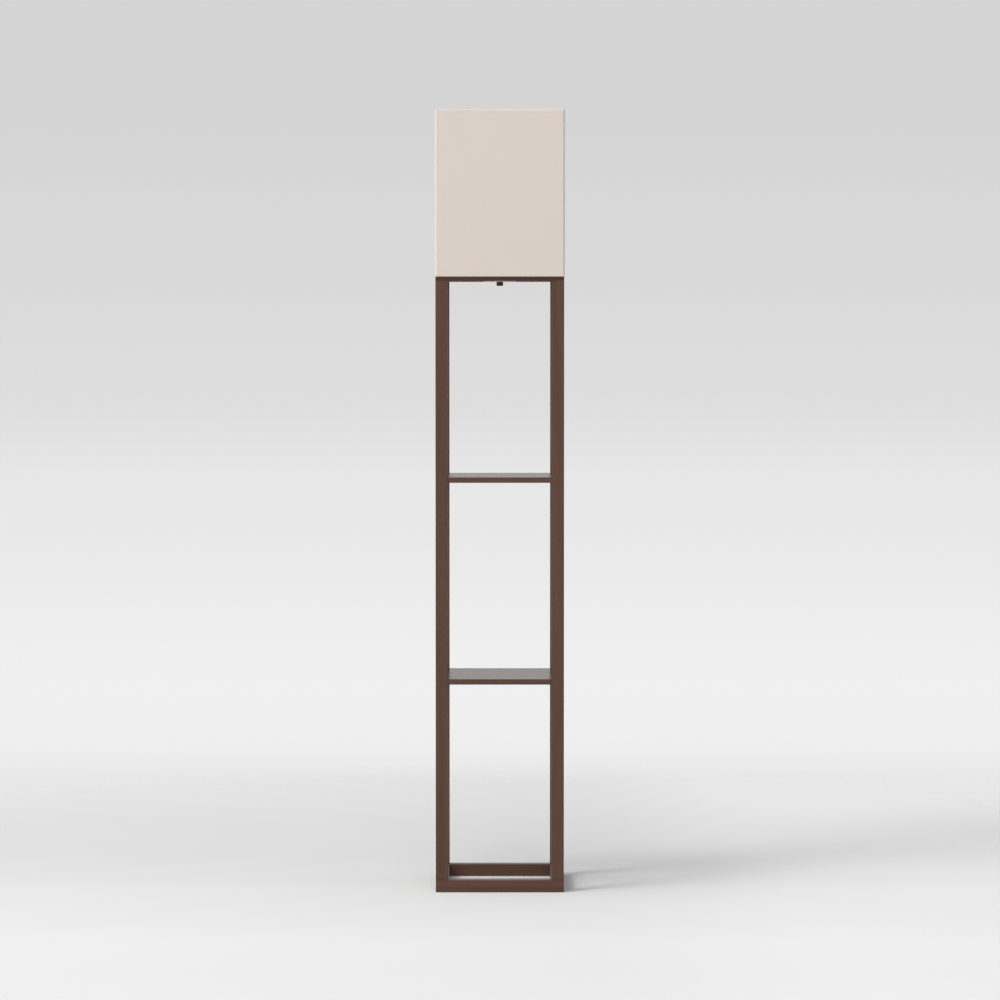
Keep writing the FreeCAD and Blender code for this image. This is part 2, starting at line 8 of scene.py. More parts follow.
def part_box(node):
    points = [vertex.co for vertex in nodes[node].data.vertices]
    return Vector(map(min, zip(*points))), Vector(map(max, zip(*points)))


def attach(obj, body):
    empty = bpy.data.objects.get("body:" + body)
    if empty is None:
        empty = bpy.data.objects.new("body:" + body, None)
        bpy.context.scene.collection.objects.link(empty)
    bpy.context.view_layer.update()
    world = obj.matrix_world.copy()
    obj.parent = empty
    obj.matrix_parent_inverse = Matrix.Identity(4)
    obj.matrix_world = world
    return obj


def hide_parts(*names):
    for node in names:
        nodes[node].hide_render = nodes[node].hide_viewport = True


print("loading the frame")
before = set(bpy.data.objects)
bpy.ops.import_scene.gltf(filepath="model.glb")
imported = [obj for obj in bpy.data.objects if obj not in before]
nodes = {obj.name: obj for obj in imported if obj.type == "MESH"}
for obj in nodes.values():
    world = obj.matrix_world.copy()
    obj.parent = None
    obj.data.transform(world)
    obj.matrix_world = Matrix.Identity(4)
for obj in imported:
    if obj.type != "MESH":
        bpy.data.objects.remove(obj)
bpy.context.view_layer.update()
scene = bpy.context.scene
scene.view_settings.view_transform = "Standard"

mergeGap = 0.00001  # vertices nearer than this are one
sharpAngle = math.radians(32)  # edges sharper than this stay crisp
flatAngle = math.radians(0.5)  # faces nearer to one plane than this are joined
threadSunk = 0.0001  # how far a thread's foot lies inside its core
fineSteps = 96  # sides of the bulb's round pieces and of the floor
smallSteps = 48  # sides of the small round pieces


def paint(red, green, blue):
    # an on-screen colour, 0 to 255, as the linear one that shaders mix
    linear = []
    for part in (red / 255, green / 255, blue / 255):
        linear.append(part / 12.92 if part <= 0.04045 else ((part + 0.055) / 1.055) ** 2.4)
    return (*linear, 1.0)


def scaled(colour, gain):
    return (*[part * gain for part in colour[:3]], 1.0)


# --- shaders


class Term:
    # a number, vector or colour in a shader, so that sums on it can be written plainly
    def __init__(self, plan, socket):
        self.plan = plan
        self.socket = socket

    def sum(self, operation, first, second=0.0):
        return self.plan.put("Math", {"operation": operation}, {0: first, 1: second})

    def __add__(self, other):
        return self.sum("ADD", self, other)

    def __radd__(self, other):
        return self.sum("ADD", other, self)

    def __sub__(self, other):
        return self.sum("SUBTRACT", self, other)

    def __mul__(self, other):
        return self.sum("MULTIPLY", self, other)

    def __truediv__(self, other):
        return self.sum("DIVIDE", self, other)

    def sine(self):
        return self.sum("SINE", self)

    def larger(self, other):
        return self.sum("MAXIMUM", self, other)

    def step(self, low, high):
        # 0 below low and 1 above high, eased in between
        values = {"Value": self, "From Min": low, "From Max": high}
        return self.plan.put("MapRange", {"interpolation_type": "SMOOTHSTEP"}, values)


def spreadStops(ramp, stops):
    # stops of a colour ramp, as (position, colour)
    ramp.interpolation = "EASE"
    while len(ramp.elements) < len(stops):
        ramp.elements.new(0.5)
    for element, (position, colour) in zip(ramp.elements, stops):
        element.position = position
        element.color = colour


class Plan:
    # one node tree
    def __init__(self, owner):
        owner.use_nodes = True
        self.tree = owner.node_tree
        self.tree.nodes.clear()

    def put(self, kind, settings, values, output=0):
        made = self.tree.nodes.new("ShaderNode" + kind)
        for name, value in settings.items():
            if name == "stops":
                spreadStops(made.color_ramp, value)
            else:
                setattr(made, name, value)
        for name, value in values.items():
            if isinstance(value, Term):
                self.tree.links.new(value.socket, made.inputs[name])
            else:
                made.inputs[name].default_value = value
        return Term(self, made.outputs[output]) if output is not None else None

    def place(self):
        # where the point is on the object, in metres
        return self.put("TexCoord", {}, {}, "Object")

    def split(self, vector):
        return [self.put("SeparateXYZ", {}, {"Vector": vector}, axis) for axis in "XYZ"]

    def noise(self, vector, scale, detail):
        # scale is in bumps per metre along x, y and z
        spread = self.put("Mapping", {}, {"Vector": vector, "Scale": scale})
        return self.put("TexNoise", {}, {"Vector": spread, "Scale": 1.0, "Detail": detail})

    def mixed(self, factor, first, second):
        return self.put("Mix", {"data_type": "RGBA"}, {0: factor, 6: first, 7: second}, 2)

    def bump(self, height, distance, strength):
        return self.put("Bump", {}, {"Height": height, "Distance": distance, "Strength": strength})

    def gloss(self, values):
        return self.put("BsdfPrincipled", {}, values)

    def finish(self, shader, kind="OutputMaterial"):
        self.put(kind, {}, {"Surface": shader}, None)


def newMaterial(name):
    material = bpy.data.materials.new(name)
    return material, Plan(material)


walnut = {
    "dark": paint(73, 46, 34),
    "light": paint(94, 64, 49),
    "pore": paint(44, 28, 22),
    "bands": (38.0, 1.3, 3.0),  # across and along the grain, per metre, and their detail
    "fibres": (620.0, 11.0, 4.0),
    "pores": (2300.0, 105.0, 2.0),
    "bandEdges": (0.3, 0.7),
    "poreEdges": (0.6, 0.74),
    "poreDepth": 0.4,
    "rise": (0.6, 0.7),  # of the fibres, and fall of the pores, in shares of the relief
    "relief": 0.00003,
    "bump": 0.6,
    "fibreShare": 0.38,  # of the tone, the rest being the bands
    "roughness": 0.36,
    "roughFibres": 0.14,
    "roughPores": 0.1,
    "shine": 0.4,
}
walnutMatt = {
    **walnut, "dark": paint(68, 46, 36), "light": paint(88, 65, 53), "roughness": 0.8, "shine": 0.1,
}
walnutShelf = {**walnut, "roughness": 0.24, "shine": 0.45}


def woodMaterial(name, along, values):
    material, plan = newMaterial(name)
    here = plan.place()

    def grain(size):
        scale = [size[0]] * 3
        scale[along] = size[1]
        return plan.noise(here, scale, size[2])

    bands = grain(values["bands"]).step(*values["bandEdges"])
    fibres = grain(values["fibres"])
    pores = grain(values["pores"]).step(*values["poreEdges"])
    share = values["fibreShare"]
    tone = plan.mixed(bands * (1 - share) + fibres * share, values["dark"], values["light"])
    tone = plan.mixed(pores * values["poreDepth"], tone, values["pore"])
    fibreRise, poreFall = values["rise"]
    height = fibres * fibreRise - pores * poreFall
    surface = plan.gloss({
        "Base Color": tone,
        "Roughness": fibres * values["roughFibres"] + pores * values["roughPores"]
        + (values["roughness"] - values["roughFibres"] / 2),
        "Specular IOR Level": values["shine"],
        "Normal": plan.bump(height, values["relief"], values["bump"]),
    })
    plan.finish(surface)
    return material


plain = {
    "clouds": 60.0,  # bumps per metre
    "cloudDetail": 3.0,
    "cloudEdges": (0.3, 0.7),
    "specks": 2400.0,
    "speckDetail": 2.0,
    "roughClouds": 0.08,
    "roughSpecks": 0.06,
    "relief": 0.00002,
    "bump": 0.5,
}


def plainMaterial(name, colour, metal, roughness, wear=0.1):
    # paint, plastic or metal with a fine uneven grain
    material, plan = newMaterial(name)
    here = plan.place()
    clouds = plan.noise(here, [plain["clouds"]] * 3, plain["cloudDetail"])
    specks = plan.noise(here, [plain["specks"]] * 3, plain["speckDetail"])
    roughClouds, roughSpecks = plain["roughClouds"], plain["roughSpecks"]
    least = roughness - (roughClouds + roughSpecks) / 2
    worn = scaled(colour, 1 - wear)
    plan.finish(plan.gloss({
        "Base Color": plan.mixed(clouds.step(*plain["cloudEdges"]), worn, colour),
        "Metallic": metal,
        "Roughness": clouds * roughClouds + specks * roughSpecks + least,
        "Normal": plan.bump(specks, plain["relief"], plain["bump"]),
    }))
    return material


linen = {
    "colour": paint(223, 213, 204),
    "between": 0.93,  # painted shade in the gaps between the threads, as a share of the colour
    "thread": 0.00052,  # from one thread to the next
    "slub": (36.0, 2100.0),  # thick places, along and across a thread
    "slubEdges": (0.35, 0.75),
    "sway": 90.0,  # how often the threads wander, per metre
    "swing": (3.0, 2.0),  # how far, across and up
    "detail": 2.0,
    "tone": (0.25, 0.3, 0.35),  # of the threads, the slubs and the ground
    "roughness": 0.88,
    "sheen": 0.1,
    "relief": 0.00009,
    "threadRise": 0.5,
    "bump": 0.5,
}


def linenMaterial(name, values):
    material, plan = newMaterial(name)
    cloth = plan.put("TexCoord", {}, {}, "UV")
    across, up, _ = plan.split(cloth)
    pitch = 2 * math.pi / values["thread"]
    slow, quick = values["slub"]
    weft = plan.noise(cloth, (slow, quick, 1.0), values["detail"])
    warp = plan.noise(cloth, (quick, slow, 1.0), values["detail"])
    sway = plan.noise(cloth, (values["sway"], values["sway"], 1.0), values["detail"])
    swingAcross, swingUp = values["swing"]
    threads = (across * pitch + sway * swingAcross).sine() * (up * pitch + sway * swingUp).sine()
    slubs = weft.step(*values["slubEdges"]) + warp.step(*values["slubEdges"])
    threadTone, slubTone, ground = values["tone"]
    tone = threads * threadTone + slubs * slubTone + ground
    # painted shade: the colour darkened in the gaps of the weave
    gapShaded = scaled(values["colour"], values["between"])
    height = threads * values["threadRise"] + slubs
    plan.finish(plan.gloss({
        "Base Color": plan.mixed(tone, gapShaded, values["colour"]),
        "Roughness": values["roughness"],
        "Sheen Weight": values["sheen"],
        "Normal": plan.bump(height, values["relief"], values["bump"]),
    }))
    return material


print("materials")
woodX = woodMaterial("walnutAcross", 0, walnut)
woodY = woodMaterial("walnutDeep", 1, walnut)
woodZ = woodMaterial("walnutUpright", 2, walnut)
woodMatt = woodMaterial("walnutMatt", 0, walnutMatt)
woodShelf = woodMaterial("walnutShelf", 0, walnutShelf)
linenCloth = linenMaterial("linenCloth", linen)
shadeFilm = plainMaterial("shadeFilm", paint(237, 234, 229), 0.0, 0.42, wear=0.02)
whiteWire = plainMaterial("whiteWire", paint(230, 228, 223), 0.0, 0.4)
plateSteel = plainMaterial("plateSteel", paint(200, 194, 188), 1.0, 0.36)
zincSteel = plainMaterial("zincSteel", paint(188, 188, 186), 1.0, 0.38)
blackMoulding = plainMaterial("blackMoulding", paint(27, 26, 26), 0.0, 0.42)
knobBlack = plainMaterial("knobBlack", paint(24, 22, 21), 0.0, 0.38)
brass = plainMaterial("brass", paint(205, 170, 108), 1.0, 0.3)
ceramic = plainMaterial("ceramic", paint(234, 229, 219), 0.0, 0.3)
leadSleeve = plainMaterial("leadSleeve", paint(34, 32, 31), 0.0, 0.5)
bulbNickel = plainMaterial("bulbNickel", paint(205, 203, 198), 1.0, 0.25)
bulbBlackGlass = plainMaterial("bulbBlackGlass", paint(18, 16, 18), 0.0, 0.12)
bulbWhite = plainMaterial("bulbWhite", paint(212, 211, 207), 0.0, 0.4)
bulbFrosted = plainMaterial("bulbFrosted", paint(216, 215, 211), 0.0, 0.32)

bareFinish = {
    "post_front_left": woodZ,
    "post_front_right": woodZ,
    "post_rear_left": woodZ,
    "post_rear_right": woodZ,
    "base_rail_front": woodX,
    "base_rail_rear": woodX,
    "base_rail_left": woodY,
    "base_rail_right": woodY,
    "shelf_lower": woodShelf,
    "shelf_upper": woodShelf,
    "top_board": woodMatt,
    "base_rail_tenons": woodX,
    "base_post_tenons": woodZ,
    "shelf_lower_tenons": woodZ,
    "shelf_upper_tenons": woodZ,
    "board_tenons": woodZ,
    "board_screws": zincSteel,
    "shade_ring_upper": whiteWire,
    "shade_ring_lower": whiteWire,
    "shade_spider": whiteWire,
    "switch_plate": plateSteel,
    "plate_bolts": zincSteel,
    "switch_body": blackMoulding,
    "switch_bushing": brass,
    "switch_nut": brass,
    "switch_spindle": brass,
    "switch_knob": knobBlack,
    "socket_bracket": plateSteel,
    "bracket_nuts": zincSteel,
    "socket_nipple": plateSteel,
    "nipple_nut": plateSteel,
    "socket_cap": blackMoulding,
    "socket_shell": blackMoulding,
    "socket_insulator": ceramic,
    "socket_screw_shell": brass,
    "socket_contact": brass,
    "lock_ring": blackMoulding,
    "supply_leads": leadSleeve,
    "bulb_tip": bulbNickel,
    "bulb_insulator": bulbBlackGlass,
    "bulb_base": bulbNickel,
    "bulb_housing": bulbWhite,
    "bulb_globe": bulbFrosted,
    "shade_liner": shadeFilm,
    "cord_grommet": leadSleeve,
}
for name, finish in bareFinish.items():
    nodes[name].data.materials.clear()
    nodes[name].data.materials.append(finish)


# --- pieces


def newPiece(name, bm, material, body, hides=()):
    bmesh.ops.remove_doubles(bm, verts=bm.verts, dist=mergeGap)
    bmesh.ops.recalc_face_normals(bm, faces=bm.faces)
    mesh = bpy.data.meshes.new(name)
    bm.to_mesh(mesh)
    bm.free()
    mesh.materials.append(material)
    mesh.shade_smooth()
    mesh.set_sharp_from_angle(angle=sharpAngle)
    piece = bpy.data.objects.new(name, mesh)
    scene.collection.objects.link(piece)
    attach(piece, body)
    if hides:
        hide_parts(*hides)
    return piece


def evenShading(piece):
    # large flat faces keep their own shading beside small round ones
    even = piece.modifiers.new("evenShading", "WEIGHTED_NORMAL")
    even.mode = "FACE_AREA"
    even.weight = 100  # the larger face decides
    even.keep_sharp = True


def soften(bm, width, segments=3):
    # rounds the sharp edges of a closed shape
    bmesh.ops.remove_doubles(bm, verts=bm.verts, dist=mergeGap)
    bmesh.ops.recalc_face_normals(bm, faces=bm.faces)
    crisp = [e for e in bm.edges if e.is_manifold and e.calc_face_angle() > sharpAngle]
    bmesh.ops.bevel(
        bm, geom=crisp, offset=width, offset_type="OFFSET", affect="EDGES",
        segments=segments, profile=0.5, material=-1, clamp_overlap=True,
    )


def softCopy(name, node, width, body, segments=2):
    # a CAD node with its flat faces made whole and its edges rounded
    bm = bmesh.new()
    bm.from_mesh(nodes[node].data)
    bmesh.ops.remove_doubles(bm, verts=bm.verts, dist=mergeGap)
    bmesh.ops.dissolve_limit(bm, angle_limit=flatAngle, verts=bm.verts, edges=bm.edges)
    if width:
        soften(bm, width, segments)
    piece = newPiece(name, bm, bareFinish[node], body, [node])
    evenShading(piece)
    return piece


def traceLine(bm, points):
    tip = bmesh.ops.create_vert(bm, co=points[0])["vert"][0]
    for point in points[1:]:
        tip = bmesh.ops.extrude_vert_indiv(bm, verts=[tip])["verts"][0]
        bmesh.ops.translate(bm, verts=[tip], vec=Vector(point) - tip.co)


def turn(points, steps=72, centre=(0.0, 0.0)):
    # spins a closed line of (radius, height) points round the upright through centre
    bm = bmesh.new()
    line = [(radius, 0.0, height) for radius, height in points]
    traceLine(bm, line + line[:1])
    bmesh.ops.remove_doubles(bm, verts=bm.verts, dist=mergeGap)
    bmesh.ops.spin(
        bm, geom=bm.verts[:] + bm.edges[:], cent=(0, 0, 0), axis=(0, 0, 1), angle=2 * math.pi,
        steps=steps, use_merge=True,
    )
    bmesh.ops.remove_doubles(bm, verts=bm.verts, dist=mergeGap)
    bmesh.ops.translate(bm, verts=bm.verts, vec=(centre[0], centre[1], 0))
    return bm


def arc(centre, radius, first, last, steps):
    # (radius, height) points on an arc, angles in degrees
    angles = [math.radians(first + (last - first) * i / steps) for i in range(steps + 1)]
    return [(centre[0] + radius * math.cos(a), centre[1] + radius * math.sin(a)) for a in angles]


def joinIn(bm, other):
    # adds a second shape to the first
    mesh = bpy.data.meshes.new("spare")
    other.to_mesh(mesh)
    other.free()
    bm.from_mesh(mesh)
    bpy.data.meshes.remove(mesh)
    return bm


# outline of a thread, as shares of its depth and its pitch
ridge = ((0.0, 0.0), (0.55, 0.22), (1.0, 0.42), (1.0, 0.58), (0.55, 0.78), (0.0, 1.0))
ridgeSunk = 0.0003  # how far the cut ends of a thread reach into its core


def screwThread(core, crest, pitch, low, high, steps=48):
    # a ridge that climbs round a core, cut level at its ends
    bm = bmesh.new()
    deep, start = crest - core, low - pitch
    traceLine(bm, [(core + deep * out, 0.0, start + pitch * up) for out, up in ridge])
    turns = math.ceil((high - low) / pitch) + 2
    bmesh.ops.spin(
        bm, geom=bm.verts[:] + bm.edges[:], cent=(0, 0, 0), axis=(0, 0, 1),
        dvec=(0, 0, pitch / steps), angle=2 * math.pi * turns, steps=steps * turns,
    )
    bmesh.ops.remove_doubles(bm, verts=bm.verts, dist=mergeGap)
    for height, way in ((low, -1), (high, 1)):
        bmesh.ops.bisect_plane(
            bm, geom=bm.verts[:] + bm.edges[:] + bm.faces[:], plane_co=(0, 0, height),
            plane_no=(0, 0, way), clear_outer=True,
        )
        rim = [e for e in bm.edges if e.is_boundary and abs(e.verts[0].co.z - height) < mergeGap]
        grown = bmesh.ops.extrude_edge_only(bm, edges=rim)["geom"]
        for vert in (part for part in grown if isinstance(part, bmesh.types.BMVert)):
            vert.co.xy *= (core - ridgeSunk) / vert.co.xy.length
    return bm


def roundedPath(points, radius, steps, closed=False):
    # a line through the points with an arc at each corner
    count = len(points)
    path = []
    for i, corner in enumerate(points):
        if not closed and i in (0, count - 1):
            path.append(corner)
            continue
        arrive = (corner - points[i - 1]).normalized()
        leave = (points[(i + 1) % count] - corner).normalized()
        half = arrive.angle(leave) / 2
        middle = corner + (leave - arrive).normalized() * (radius / math.cos(half))
        start = corner - arrive * (radius * math.tan(half)) - middle
        swing = arrive.rotation_difference(leave)
        for step in range(steps + 1):
            part = Quaternion(swing.axis, swing.angle * step / steps)
            path.append(middle + part @ start)
    return path


def sweepWire(bm, path, radius, sides, closed=False):
    # a round wire along a line
    count = len(path)
    ways = []
    for i in range(count):
        before = path[i - 1] if closed or i else path[i]
        after = path[(i + 1) % count] if closed or i < count - 1 else path[i]
        ways.append((after - before).normalized())
    loop = bmesh.ops.create_circle(bm, cap_ends=not closed, segments=sides, radius=radius)["verts"]
    first = Matrix.Translation(path[0]) @ ways[0].to_track_quat("Z", "Y").to_matrix().to_4x4()
    bmesh.ops.transform(bm, matrix=first, verts=loop)
    opening = list({e for v in loop for e in v.link_edges})
    edges = opening
    for i in range(1, count):
        grown = bmesh.ops.extrude_edge_only(bm, edges=edges)["geom"]
        verts = [part for part in grown if isinstance(part, bmesh.types.BMVert)]
        known = set(verts)
        edges = [part for part in grown if isinstance(part, bmesh.types.BMEdge)
                 and known.issuperset(part.verts)]
        bend = ways[i - 1].rotation_difference(ways[i]).to_matrix().to_4x4()
        move = Matrix.Translation(path[i]) @ bend @ Matrix.Translation(-path[i - 1])
        bmesh.ops.transform(bm, matrix=move, verts=verts)
    if closed:
        bmesh.ops.bridge_loops(bm, edges=opening + edges)
    else:
        bmesh.ops.holes_fill(bm, edges=edges)


hollowSharp = 1.5  # 1 for a round hollow, more for a narrower one


def flutedLoop(bm, radius, height, count, depth, steps):
    # closed round line with shallow hollows in it
    made = bmesh.ops.create_circle(bm, cap_ends=False, segments=count * steps, radius=radius)
    verts = made["verts"]
    for vert in verts:
        turned = math.atan2(vert.co.y, vert.co.x) * count
        vert.co.xy *= 1 - depth / radius * max(0.0, math.cos(turned)) ** hollowSharp
    bmesh.ops.translate(bm, verts=verts, vec=(0, 0, height))
    return list({e for v in verts for e in v.link_edges})


def flutedShape(rings, count, steps=8):
    # rings of (radius, height, flute depth), joined one to the next
    bm = bmesh.new()
    loops = []
    for radius, height, depth in rings:
        loops.append(flutedLoop(bm, radius, height, count, depth, steps))
    for first, second in zip(loops, loops[1:]):
        bmesh.ops.bridge_loops(bm, edges=first + second)
    return bm, loops


def levels(node):
    # bottom, top and half width of a CAD node
    low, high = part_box(node)
    return low.z, high.z, (high.x - low.x) / 2


print("shade")
shade = {
    "cornerSteps": 8,
    "foldSteps": 6,
    "cloth": 0.0006,
    "hem": 0.008,  # turned in at the top and the bottom
    "corner": 0.004,
    "fold": 0.0021,  # middle of the cloth round the ring
    "seam": 0.012,  # overlap on the rear
    "seamLift": 0.0004,
    "seamSteps": (6, 40),  # across and along
}


def squareLoop(bm, half, corner, steps, height):
    # closed line round a square with round corners
    made = bmesh.ops.create_grid(bm, x_segments=1, y_segments=1, size=half)["verts"]
    bmesh.ops.translate(bm, verts=made, vec=(0, 0, height))
    bmesh.ops.bevel(
        bm, geom=made, offset=corner, offset_type="OFFSET", affect="VERTICES",
        segments=steps, profile=0.5, material=-1,
    )
    whole = [f for f in bm.faces if all(abs(v.co.z - height) < mergeGap for v in f.verts)]
    edges = list({e for f in whole for e in f.edges})
    bmesh.ops.delete(bm, geom=whole, context="FACES_ONLY")
    return edges


def clothTurn(bottom, top, bend, middle, hem, steps):
    # (depth inwards, height) of the cloth from the bottom hem's inner edge to the top one's
    line = [(2 * bend, bottom + hem)]
    low = bottom + middle + bend
    for step in range(steps + 1):
        angle = math.pi * step / steps
        line.append((bend + bend * math.cos(angle), low - bend * math.sin(angle)))
    return line + [(depth, bottom + top - height) for depth, height in reversed(line)]


def makeShade(values):
    low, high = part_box("shade_fabric")
    middle = values["cloth"] / 2
    half = (high.x - low.x) / 2 - middle
    bm = bmesh.new()
    loops = []
    for depth, height in clothTurn(
        low.z, high.z, values["fold"], middle, values["hem"], values["foldSteps"]
    ):
        corner = max(values["corner"] - middle - depth, middle)
        loops.append(squareLoop(bm, half - depth, corner, values["cornerSteps"], height))
    for first, second in zip(loops, loops[1:]):
        bmesh.ops.bridge_loops(bm, edges=first + second)
    bmesh.ops.remove_doubles(bm, verts=bm.verts, dist=mergeGap)
    bmesh.ops.recalc_face_normals(bm, faces=bm.faces)
    return bm


def layCloth(bm, name):
    # the weave runs level and upright on each side
    layer = bm.loops.layers.uv.new(name)
    for face in bm.faces:
        side = face.normal
        for loop in face.loops:
            spot = loop.vert.co
            loop[layer].uv = (spot.x if abs(side.y) > abs(side.x) else spot.y, spot.z)


def thicken(piece, thickness):
    wall = piece.modifiers.new("thickness", "SOLIDIFY")
    wall.thickness = thickness
    wall.offset = 0.0
    evenShading(piece)


clothMesh = makeShade(shade)
layCloth(clothMesh, "cloth")
shadeFabric = newPiece(
    "shadeFabric", clothMesh, linenCloth, "lamp", ["shade_fabric"]
)
thicken(shadeFabric, shade["cloth"])
shadeLow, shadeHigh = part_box("shade_fabric")


def makeSeam(values):
    # the last of the cloth, laid over its start on the rear
    bm = bmesh.new()
    tall = shadeHigh.z - shadeLow.z - 2 * values["fold"]
    across, along = values["seamSteps"]
    made = bmesh.ops.create_grid(bm, x_segments=across, y_segments=along, size=0.5)["verts"]
    bmesh.ops.scale(bm, vec=(values["seam"], tall, 1), verts=made)
    bmesh.ops.rotate(bm, matrix=Matrix.Rotation(math.pi / 2, 3, "X"), verts=made)
    out = shadeHigh.y + values["seamLift"]
    bmesh.ops.translate(bm, verts=made, vec=(0, out, (shadeLow.z + shadeHigh.z) / 2))
    rim = max(v.co.x for v in made)
    for vert in made:
        if abs(vert.co.x) > rim - mergeGap:  # its long edges are pressed down
            vert.co.y = shadeHigh.y
    return bm


seamMesh = makeSeam(shade)
layCloth(seamMesh, "cloth")
shadeSeam = newPiece("shadeSeam", seamMesh, linenCloth, "lamp")
thicken(shadeSeam, shade["cloth"] / 2)

print("wires")
wire = {"radius": 0.0015, "sides": 14, "corner": 0.0017, "cornerSteps": 5}


def makeRing(values, node):
    low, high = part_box(node)
    reach = (high.x - low.x) / 2 - values["radius"]
    height = (low.z + high.z) / 2
    turns = ((1, 1), (-1, 1), (-1, -1), (1, -1))
    corners = [Vector((x * reach, y * reach, height)) for x, y in turns]
    bm = bmesh.new()
    path = roundedPath(corners, values["corner"], values["cornerSteps"], closed=True)
    sweepWire(bm, path, values["radius"], values["sides"], closed=True)
    return bm


for name, node in (("shadeRingUpper", "shade_ring_upper"), ("shadeRingLower", "shade_ring_lower")):
    evenShading(newPiece(name, makeRing(wire, node), whiteWire, "lamp", [node]))

spider = {
    "bend": 0.008,
    "bendSteps": 8,
    "upright": 0.0104,  # foot of an arm
    "fitter": 0.029,
    "fitterHole": 0.0193,
    "fitterThick": 0.0015,
    "fitterEdge": 0.0003,
    "armEnd": 0.0262,
    "weld": 0.0021,
    "weldFlat": 0.6,
}


def makeSpider(values):
    foot, _, out = levels("shade_spider")
    reach = out - wire["radius"]
    top = levels("lock_ring")[0]
    thick = values["fitterThick"]
    bm = turn([
        (values["fitterHole"], top - thick), (values["fitter"], top - thick),
        (values["fitter"], top), (values["fitterHole"], top),
    ])
    soften(bm, values["fitterEdge"])
    for way in (Vector((1, 0, 0)), Vector((0, 1, 0)), Vector((-1, 0, 0)), Vector((0, -1, 0))):
        points = [
            way * reach + Vector((0, 0, foot)),
            way * reach + Vector((0, 0, foot + values["upright"])),
            way * values["armEnd"] + Vector((0, 0, top - thick / 2)),
        ]
        path = roundedPath(points, values["bend"], values["bendSteps"])
        sweepWire(bm, path, wire["radius"], wire["sides"])
        for spot in (points[0], points[-1]):  # weld at each end
            drop = bmesh.ops.create_icosphere(bm, subdivisions=2, radius=values["weld"])["verts"]
            bmesh.ops.scale(bm, vec=(1, 1, values["weldFlat"]), verts=drop)
            bmesh.ops.translate(bm, verts=drop, vec=spot)
    return bm


evenShading(newPiece(
    "shadeSpider", makeSpider(spider), whiteWire, "lamp", ["shade_spider"]
))
softCopy("shadeLiner", "shade_liner", 0.0, "lamp")

print("lampholder")
holder = {
    "bore": 0.0166,
    "core": 0.0184,  # foot of the outer thread
    "flange": 0.0225,
    "flangeThick": 0.002,
    "pitch": 0.0028,
    "threadGaps": (0.001, 0.0012),  # plain length below and above the thread
    "edge": 0.0004,
}


def makeShell(values):
    bottom, top, _ = levels("socket_shell")
    radius = levels("socket_cap")[2]
    seat = levels("lock_ring")[0] - spider["fitterThick"]
    under = seat - values["flangeThick"]
    below, above = values["threadGaps"]
    bm = turn([
        (values["bore"], bottom), (radius, bottom), (radius, under),
        (values["flange"], under), (values["flange"], seat), (values["core"], seat),
        (values["core"], top), (values["bore"], top),
    ])
    soften(bm, values["edge"])
    foot = values["core"] - threadSunk
    thread = screwThread(foot, radius, values["pitch"], seat + below, top - above)
    return joinIn(bm, thread)


evenShading(newPiece(
    "socketShell", makeShell(holder), blackMoulding, "lamp", ["socket_shell"]
))

cap = {
    "neck": 0.0085,
    "neckTall": 0.005,
    "cone": 0.009,
    "coneSteps": 8,
    "hole": 0.0049,
    "throat": 0.0075,
    "floor": 0.0024,
    "ledge": 0.0012,  # what the ceramic rests on
    "edge": 0.0004,
}


def makeCap(values):
    bottom, top, radius = levels("socket_cap")
    shoulder = bottom + values["neckTall"]
    flare = []
    for step in range(values["coneSteps"] + 1):
        share = step / values["coneSteps"]
        ease = share * share * (3 - 2 * share)
        flare.append((
            values["neck"] + (radius - values["neck"]) * ease, shoulder + values["cone"] * share
        ))
    rim = shoulder + values["cone"]
    floor = bottom + values["floor"]
    inside = holder["bore"] - values["ledge"]
    bm = turn([
        (values["hole"], bottom), (values["neck"], bottom), *flare, (radius, top),
        (inside, top), (inside, rim), (values["throat"], floor), (values["hole"], floor),
    ])
    soften(bm, values["edge"])
    return bm


evenShading(newPiece(
    "socketCap", makeCap(cap), blackMoulding, "lamp", ["socket_cap"]
))

grip = {
    "count": 24,
    "depth": 0.0008,
    "collar": 0.001,
    "edge": 0.0006,
    "bore": 0.01905,
    "dish": 0.00005,  # fall of the top inwards, without which its bridge twists
}


def makeLockRing(values):
    bottom, top, radius = levels("lock_ring")
    edge = values["edge"]
    bm, loops = flutedShape([
        (values["bore"], bottom, 0.0), (radius - edge / 2, bottom, 0.0),
        (radius, bottom + edge / 2, 0.0), (radius, bottom + values["collar"], 0.0),
        (radius, bottom + values["collar"] + edge, values["depth"]),
        (radius, top - edge, values["depth"]), (radius - edge, top, values["depth"] / 2),
        (values["bore"] + edge, top - values["dish"], 0.0), (values["bore"], top - edge, 0.0),
    ], values["count"])
    bmesh.ops.bridge_loops(bm, edges=loops[-1] + loops[0])
    return bm


newPiece("lockRing", makeLockRing(grip), blackMoulding, "lamp", ["lock_ring"])

screwShell = {
    "wall": 0.0006,
    "pitch": 0.0036,
    "relief": 0.0006,
    "threadGaps": (0.003, 0.002),
    "edge": 0.0001,
}


def makeScrewShell(values):
    # thin brass sleeve with the thread rolled into it
    bottom, top, radius = levels("socket_screw_shell")
    inner = radius - values["wall"]
    bm = turn([(inner, bottom), (radius, bottom), (radius, top), (inner, top)])
    soften(bm, values["edge"], 2)
    crest = radius + values["relief"]
    below, above = values["threadGaps"]
    thread = screwThread(radius - threadSunk, crest, values["pitch"], bottom + below, top - above)
    return joinIn(bm, thread)


